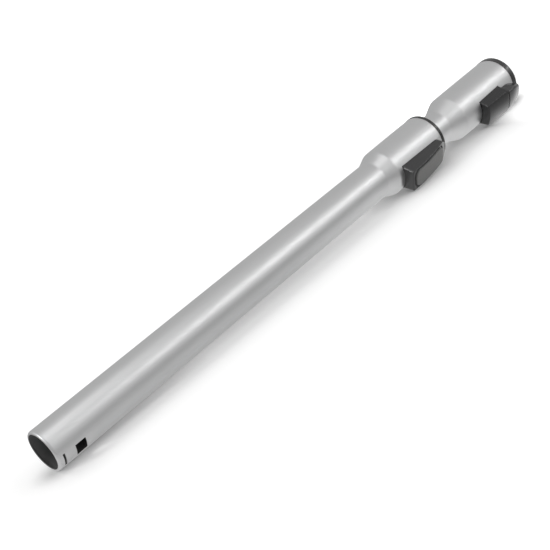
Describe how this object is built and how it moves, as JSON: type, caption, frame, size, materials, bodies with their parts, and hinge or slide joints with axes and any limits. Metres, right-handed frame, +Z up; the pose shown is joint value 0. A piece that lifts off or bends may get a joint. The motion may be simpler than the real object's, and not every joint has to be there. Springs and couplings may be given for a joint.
{
  "type": "vacuum cleaner telescopic wand",
  "caption": "Telescopic steel suction tube pushed together, with a sliding lock in its first collar and a press-button handle socket at its upper end.",
  "frame": {"origin": "on the tubes' axis, where the lower tube's straight wall starts behind its rolled mouth", "axes": "+X along the tubes towards the handle end, +Z up as it lies, with the lock key and the release button on the -Y side, pointing 23.4 degrees below level, where their blocks touch the floor"},
  "size_m": [0.5904, 0.0566, 0.047],
  "materials": {
    "steel_tube": "satin",
    "steel_part": "satin",
    "spring_steel": "satin",
    "black_plastic": "fine grain",
    "bearing_plastic": "smooth",
    "soft_pad": "grained",
    "seal_rubber": "smooth",
    "felt": "felted"
  },
  "bodies": {
    "outer": {"outer_tube": "steel_tube", "guide_sleeve": "bearing_plastic", "lock_housing": "black_plastic", "wiper_ring": "felt", "key_pin": "steel_part", "lock_spring": "spring_steel"},
    "key": {"lock_key": "black_plastic", "key_pad": "soft_pad", "lock_pawl": "steel_part", "pawl_pin": "steel_part"},
    "inner": {"inner_tube": "steel_tube", "upper_bearing_shell": "bearing_plastic", "lower_bearing_shell": "bearing_plastic", "socket_sleeve": "black_plastic", "socket_seal": "seal_rubber", "button_pin": "steel_part", "release_spring": "spring_steel"},
    "release": {"release_button": "black_plastic", "latch_plate": "steel_part", "latch_pin": "steel_part"}
  },
  "joints": [
    {"name": "telescope", "type": "slide", "parent": "outer", "child": "inner", "axis": [1, 0, 0], "range_m": [0, 0.324]},
    {"name": "key_pivot", "type": "hinge", "parent": "outer", "child": "key", "pos_m": [0.432, -0.02386, -0.01033], "axis": [0, -0.3971, 0.9178], "range_deg": [0, 6.5], "stiffness_Nm_per_rad": 0.1, "springref_deg": -40.11, "deforming": ["lock_spring"]},
    {"name": "button_pivot", "type": "hinge", "parent": "inner", "child": "release", "pos_m": [0.5415, -0.02221, -0.00961], "axis": [0, 0.3971, -0.9178], "range_deg": [0, 8], "stiffness_Nm_per_rad": 0.1, "springref_deg": -40.11, "deforming": ["release_spring"]}
  ]
}
